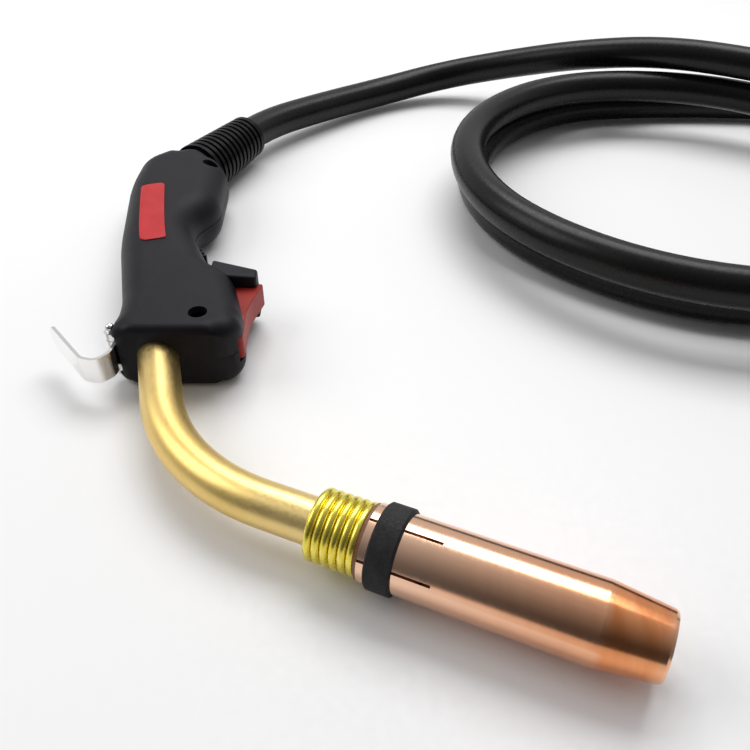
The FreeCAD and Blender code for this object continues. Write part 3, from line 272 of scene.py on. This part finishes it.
# ---- handle: one smooth skin for the two shells, with its seam, cuts and horn ----
# Millimetres, in the part's frame, up to solid_from and its like, which turn them into metres.
THICK = 34.0
MID = THICK / 2
FRONT = -28.6  # the front face, Y
MOUTH = np.array([-15.0, 160.0])  # the middle of the cable's outlet
OUT = np.array([math.sin(math.radians(24)), math.cos(math.radians(24))])  # the way that the cable leaves
SIDE = np.array([-OUT[1], OUT[0]])
MOUTH_HALF = 17.5
NECK_ROOT = np.array([0.0, -30.0])
NECK_IN = np.array([-math.sin(math.radians(14.6)), math.cos(math.radians(14.6))])
WALL = 3.2
SEAM = 0.35  # half the width of the groove between the shells, and its depth
STATIONS = 150  # rings along the handle
ACROSS = 45  # points across one ring's upper half
SCREWS = ((17.5, -16.7), (-2.2, 138.5))
WELL_FLOOR = 26
WELL_RADIUS = 4.35
NECK_BORE = 9.06
OUTLET_BORE = 13.1


def rounded(corners, step=0.6):
    """A dense closed outline from corners with radii."""
    points = []
    count = len(corners)
    for i, (point, radius) in enumerate(corners):
        p = np.array(point, float)
        back = np.array(corners[i - 1][0], float) - p
        ahead = np.array(corners[(i + 1) % count][0], float) - p
        back /= np.linalg.norm(back)
        ahead /= np.linalg.norm(ahead)
        half = (math.pi - math.acos(np.clip(back @ ahead, -1, 1))) / 2
        middle = (back + ahead) / np.linalg.norm(back + ahead)
        centre = p + middle * radius / math.cos(half)
        first = p + back * radius * math.tan(half) - centre
        turn = 2 * half * (1 if back[0] * ahead[1] - back[1] * ahead[0] < 0 else -1)
        for t in np.linspace(0, 1, max(4, int(2 * half * radius / step))):
            c, s = math.cos(turn * t), math.sin(turn * t)
            points.append(centre + np.array([c * first[0] - s * first[1], s * first[0] + c * first[1]]))
    return np.array(points)


OUTLINE = rounded([
    ((-21, FRONT), 6), ((38, FRONT), 11), ((35.8, -9), 25), ((27.4, 22), 11), ((13, 36), 16),
    ((-4.5, 76), 22),
    ((8.5, 97), 24), ((7, 140), 30),
    (tuple(MOUTH - SIDE * MOUTH_HALF), 11), (tuple(MOUTH + SIDE * MOUTH_HALF), 11),
    ((-47, 150), 22), ((-47.5, 120), 150), ((-37.5, 56), 200), ((-21, -4), 80),
])


def crossing(y):
    """The outline's left and right at a given y."""
    a = OUTLINE
    b = np.roll(OUTLINE, -1, axis=0)
    hit = (a[:, 1] - y) * (b[:, 1] - y) <= 0
    a, b = a[hit], b[hit]
    flat = np.abs(b[:, 1] - a[:, 1]) < 1e-9
    t = np.where(flat, 0, (y - a[:, 1]) / np.where(flat, 1, b[:, 1] - a[:, 1]))
    x = a[:, 0] + t * (b[:, 0] - a[:, 0])
    return x.min(), x.max()


def side_distance(p):
    """Distance to the outline's sides, leaving out its straight front and outlet edges."""
    a = OUTLINE
    b = np.roll(OUTLINE, -1, axis=0)
    middle = (a + b) / 2
    front = (middle[:, 1] < FRONT + 0.05)
    rear = np.abs((middle - MOUTH) @ OUT) < 0.05
    a, b = a[~(front | rear)], b[~(front | rear)]
    d = b - a
    t = np.clip(((p - a) * d).sum(1) / np.maximum((d * d).sum(1), 1e-12), 0, 1)
    return np.linalg.norm(a + d * t[:, None] - p, axis=1).min()


def drop(distance, radius):
    """How far a rounded edge has fallen at a distance inside it."""
    inside = np.clip(radius - distance, 0, radius)
    return radius - math.sqrt(radius * radius - inside * inside)


def top_height(x, y):
    """The height of the handle's upper surface."""
    p = np.array([x, y])
    radius = float(np.interp(y, [FRONT, -14, 30, 60, 168], [6.5, 10.5, 13.0, 14.5, 14.5]))
    fall = drop(side_distance(p), radius)
    fall = math.hypot(fall, drop(y - FRONT, 4.0)) if y - FRONT < 4 else fall
    end = -(p - MOUTH) @ OUT
    fall = fall + drop(max(end, 0), 6.0) if end < 6 else fall
    return max(THICK - fall, MID + 0.6)


def handle_rings(inset):
    """Closed rings round the handle at stations along it, closer together at the front."""
    low = OUTLINE[:, 1].min() + inset
    high = OUTLINE[:, 1].max() - inset * 1.6
    rings = []
    for k in range(STATIONS + 1):
        t = k / STATIONS
        y = low + (high - low) * (0.5 - 0.5 * math.cos(math.pi * t)) * 0.35 + (high - low) * t * 0.65
        y = min(max(y, low + 0.004), high - 0.004)
        left, right = crossing(y)
        left += inset
        right -= inset
        if right - left < 1:
            continue
        half = (right - left) / 2
        xs = [(left + right) / 2 - half * math.cos(math.pi * i / (ACROSS - 1)) for i in range(ACROSS)]
        tops = [top_height(x, y) - inset for x in xs]
        tops = [max(z, MID + 0.5) for z in tops]
        groove = SEAM if inset == 0 else 0.0
        ring = [(left, y, MID + SEAM)]
        ring += [(x, y, z) for x, z in zip(xs, tops)]
        ring += [(right, y, MID + SEAM), (right - groove, y, MID), (right, y, MID - SEAM)]
        ring += [(x, y, THICK - z) for x, z in zip(reversed(xs), reversed(tops))]
        ring += [(left, y, MID - SEAM), (left + groove, y, MID)]
        rings.append(ring)
    return rings


def lofted(name, rings, finish=None):
    """A closed mesh through rings of equal length."""
    count = len(rings[0])
    verts = [v for ring in rings for v in ring]
    faces = []
    for k in range(len(rings) - 1):
        for i in range(count):
            j = (i + 1) % count
            faces.append((k * count + i, (k + 1) * count + i, (k + 1) * count + j, k * count + j))
    faces.append(tuple(range(count)))
    faces.append(tuple(reversed([(len(rings) - 1) * count + i for i in range(count)])))
    obj = solid_from(name, verts, faces, finish)
    work = bmesh.new()
    work.from_mesh(obj.data)
    bmesh.ops.recalc_face_normals(work, faces=work.faces[:])
    work.to_mesh(obj.data)
    work.free()
    return obj


def prism(name, outline, low, high, soft):
    """An upright prism with softened edges."""
    work = bmesh.new()
    face = work.faces.new([work.verts.new((x * MM, y * MM, low * MM)) for x, y in outline])
    grown = bmesh.ops.extrude_face_region(work, geom=[face])
    moved = [v for v in grown["geom"] if isinstance(v, bmesh.types.BMVert)]
    bmesh.ops.translate(work, verts=moved, vec=(0, 0, (high - low) * MM))
    bmesh.ops.recalc_face_normals(work, faces=work.faces[:])
    bmesh.ops.bevel(work, geom=work.edges[:], offset=soft * MM, segments=4, affect="EDGES", profile=0.5)
    mesh = bpy.data.meshes.new(name)
    work.to_mesh(mesh)
    work.free()
    obj = bpy.data.objects.new(name, mesh)
    bpy.context.collection.objects.link(obj)
    return obj


def at(base, direction, along):
    """A point on the middle plane, along a direction from a base."""
    p = base + direction * along
    return (p[0], p[1], MID)


handle = lofted("handle_skin", handle_rings(0), "handle_plastic")
HORN_TIP = 38.8
HORN_SLOPE = 0.09
horn = prism("horn", [(16, 18.8), (HORN_TIP, 18.6), (HORN_TIP, 26.4), (16, 32.2)], 5, 29, 1.3)
for vert in horn.data.vertices:
    rise = HORN_SLOPE * max(HORN_TIP * MM - vert.co.x, 0)
    vert.co.z += rise if vert.co.z > MID * MM else -rise
boolean(handle, horn, "UNION")
boolean(handle, lofted("cavity", handle_rings(WALL)), "DIFFERENCE")
tools = [
    rod("neck_bore", at(NECK_ROOT, NECK_IN, -12), at(NECK_ROOT, NECK_IN, 20), NECK_BORE),
    rod("outlet_bore", at(MOUTH, OUT, -14), at(MOUTH, OUT, 20), OUTLET_BORE),
    block("trigger_slot", (20, -23.5, MID - 6.4), (60, 24.2, MID + 6.4)),
    block("hook_seat", (-50, -27.7, MID - 10.6), (-16.15, -16.3, MID + 10.6)),
    block("hook_notch", (-50, -24.6, MID - 14.8), (-18.5, -19.4, MID + 14.8)),
]
tools += [rod("screw_well", (x, y, WELL_FLOOR), (x, y, THICK + 6), WELL_RADIUS) for x, y in SCREWS]
for tool in tools:
    boolean(handle, tool, "DIFFERENCE")
smooth_by_angle(handle, 32)
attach(handle, "handle")
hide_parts("handle_lower", "handle_upper")

# The screw bosses of the upper shell, seen at the bottom of the wells.
for x, y in SCREWS:
    cup = rod("screw_cup", (x, y, 17.4), (x, y, WELL_FLOOR - 0.1), 5.4)
    boolean(cup, rod("cup_bore", (x, y, 17), (x, y, WELL_FLOOR + 1), 2.1), "DIFFERENCE")
    smooth_by_angle(cup, 40)
    cup.data.materials.append(FINISH["handle_plastic"])
    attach(cup, "handle")

# A plain raised bar along the grip, in the red of the mark that it stands in for.
BAR_START = 46.5
BAR_LONG = 61.0
BAR_HALF = 6.4
BAR_CORNER = 2.4
BAR_LIFT = 0.75
BAR_EDGE = 0.45  # the lift at its softened edge
BAR_SUNK = 0.4
BAR_ROWS = 61
BAR_ACROSS = 15
bar_points = []
for k in range(BAR_ROWS):
    t = k / (BAR_ROWS - 1)
    y = BAR_START + BAR_LONG * t
    centre = -15.8 - 13.6 * t ** 0.85
    end = min(t, 1 - t) * BAR_LONG
    half = BAR_HALF
    if end <= BAR_CORNER:
        half = BAR_HALF - BAR_CORNER + math.sqrt(max(BAR_CORNER ** 2 - (BAR_CORNER - end) ** 2, 0))
    lift = BAR_LIFT if end > 0.5 else BAR_EDGE
    row = []
    for i in range(BAR_ACROSS):
        u = -1 + 2 * i / (BAR_ACROSS - 1)
        x = centre + u * half
        row.append((x, y + u * 1.2, top_height(x, y) + (lift if abs(u) < 0.93 else BAR_EDGE)))
    bar_points.append(row)
verts = []
faces = []
for row in bar_points:
    verts += row
for row in bar_points:
    verts += [(x, y, top_height(x, y) - BAR_SUNK) for x, y, z in row]
size = BAR_ROWS * BAR_ACROSS
for k in range(BAR_ROWS - 1):
    for i in range(BAR_ACROSS - 1):
        a = k * BAR_ACROSS + i
        faces.append((a, a + 1, a + BAR_ACROSS + 1, a + BAR_ACROSS))
        faces.append((size + a, size + a + BAR_ACROSS, size + a + BAR_ACROSS + 1, size + a + 1))
edge = list(range(BAR_ACROSS))
edge += [k * BAR_ACROSS + BAR_ACROSS - 1 for k in range(1, BAR_ROWS)]
edge += [(BAR_ROWS - 1) * BAR_ACROSS + i for i in range(BAR_ACROSS - 2, -1, -1)]
edge += [k * BAR_ACROSS for k in range(BAR_ROWS - 2, 0, -1)]
for i, a in enumerate(edge):
    b = edge[(i + 1) % len(edge)]
    faces.append((b, a, size + a, size + b))
bar = solid_from("grip_bar", verts, faces, "mark_red")
smooth_by_angle(bar, 40)
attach(bar, "handle")

# Three small ribs moulded in the throat behind the trigger.
for k in range(3):
    y = 48.5 + 3.1 * k
    x = crossing(y)[1]
    rib = block("throat_rib", (x - 3, y - 0.8, 12.5), (x + 1.7 - 0.25 * k, y + 0.8, 23.5), 0.5)
    rib.data.materials.append(FINISH["handle_plastic"])
    smooth_by_angle(rib, 40)
    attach(rib, "handle")

# ---- free cable: from the handle's outlet, through the boot, over its own loop and round to the plug ----
CABLE_WIDE = 0.021
ROUTE = [
    (0.0086, 0.2130, 0.017), (0.0184, 0.2349, 0.017), (0.058, 0.277, 0.0136), (0.101, 0.313, 0.0115),
    (0.152, 0.334, 0.0175), (0.205, 0.323, 0.0305), (0.252, 0.300, 0.0445), (0.303, 0.275, 0.0545),
    (0.360, 0.247, 0.0545), (0.4307, 0.2002, 0.0505), (0.4566, 0.1197, 0.0445), (0.4264, 0.0408, 0.0375),
    (0.3512, -0.0033, 0.0335), (0.238, 0.004, 0.0325), (0.155, 0.082, 0.0325), (0.151, 0.190, 0.0325),
    (0.225, 0.268, 0.0325), (0.332, 0.266, 0.0325), (0.4046, 0.217, 0.0295), (0.4296, 0.1358, 0.0225),
    (0.398, 0.057, 0.0155), (0.3237, 0.0155, 0.0115), (0.238, 0.030, 0.0108), (0.163, 0.100, 0.0108),
    (0.157, 0.203, 0.0108), (0.226, 0.282, 0.0108), (0.324, 0.293, 0.0108), (0.420, 0.285, 0.0108),
    (0.488, 0.235, 0.0108), (0.519, 0.165, 0.0148), (0.521, 0.098, 0.0275), (0.521, 0.048, 0.0275),
]
line = bpy.data.curves.new("cable", "CURVE")
line.dimensions = "3D"
line.bevel_depth = CABLE_WIDE / 2
line.bevel_resolution = 10
line.resolution_u = 14
line.use_fill_caps = True
spline = line.splines.new("NURBS")
spline.points.add(len(ROUTE) - 1)
for point, place in zip(spline.points, ROUTE):
    point.co = (*place, 1.0)
spline.order_u = 3
spline.use_endpoint_u = True
line.materials.append(FINISH["cable_rubber"])
cable = bpy.data.objects.new("cable", line)
bpy.context.collection.objects.link(cable)
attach(cable, "handle")
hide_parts("torch_cable")

# ---- floor, light, camera ----
bpy.ops.mesh.primitive_plane_add(size=8, location=(0, 0.5, -0.0004))
floor = bpy.context.object
floor.name = "floor"
floor.data.materials.append(finish_of("floor", (0.88, 0.88, 0.885), (0.90, 0.90, 0.905), 0.5,
                                      grain=300, bump=0.0, spread=2))

# The world is bright behind the object and dark in front, which gives the metals their dark bands.
world = bpy.data.worlds.new("studio")
scene.world = world
world.use_nodes = True
sky = world.node_tree
sky.nodes.clear()
sky_out = sky.nodes.new("ShaderNodeOutputWorld")
glow = sky.nodes.new("ShaderNodeBackground")
glow.inputs["Strength"].default_value = 0.60
where = sky.nodes.new("ShaderNodeTexCoord")
split = sky.nodes.new("ShaderNodeSeparateXYZ")
shade = sky.nodes.new("ShaderNodeValToRGB")
span = sky.nodes.new("ShaderNodeMapRange")
span.inputs["From Min"].default_value = -0.9
span.inputs["From Max"].default_value = 0.3
shade.color_ramp.elements[0].color = (0.10, 0.10, 0.105, 1)
shade.color_ramp.elements[1].color = (1, 1, 1, 1)
sky.links.new(where.outputs["Generated"], split.inputs[0])
sky.links.new(split.outputs["Y"], span.inputs[0])
sky.links.new(span.outputs[0], shade.inputs[0])
sky.links.new(shade.outputs[0], glow.inputs["Color"])
sky.links.new(glow.outputs[0], sky_out.inputs[0])


def soft_light(name, place, target, wide, power):
    """A rectangular area light that faces a target."""
    lamp = bpy.data.lights.new(name, "AREA")
    lamp.shape = "RECTANGLE"
    lamp.size = wide[0]
    lamp.size_y = wide[1]
    lamp.energy = power
    obj = bpy.data.objects.new(name, lamp)
    obj.location = place
    obj.rotation_euler = (Vector(target) - Vector(place)).to_track_quat("-Z", "Y").to_euler()
    bpy.context.collection.objects.link(obj)


soft_light("key", (0.25, 0.75, 1.25), (0.1, 0.05, 0), (1.3, 0.8), 14.6)
soft_light("side", (-0.95, 0.1, 0.9), (0.05, 0, 0), (0.8, 0.8), 5.2)

CAMERA_PITCH = 40.07  # degrees below level
lens = bpy.data.cameras.new("camera")
lens.lens = 37.3
lens.sensor_width = 36
camera = bpy.data.objects.new("camera", lens)
camera.location = (0.0965, -0.2994, 0.2350)
camera.rotation_euler = (math.radians(90 - CAMERA_PITCH), 0, 0)
bpy.context.collection.objects.link(camera)
scene.camera = camera
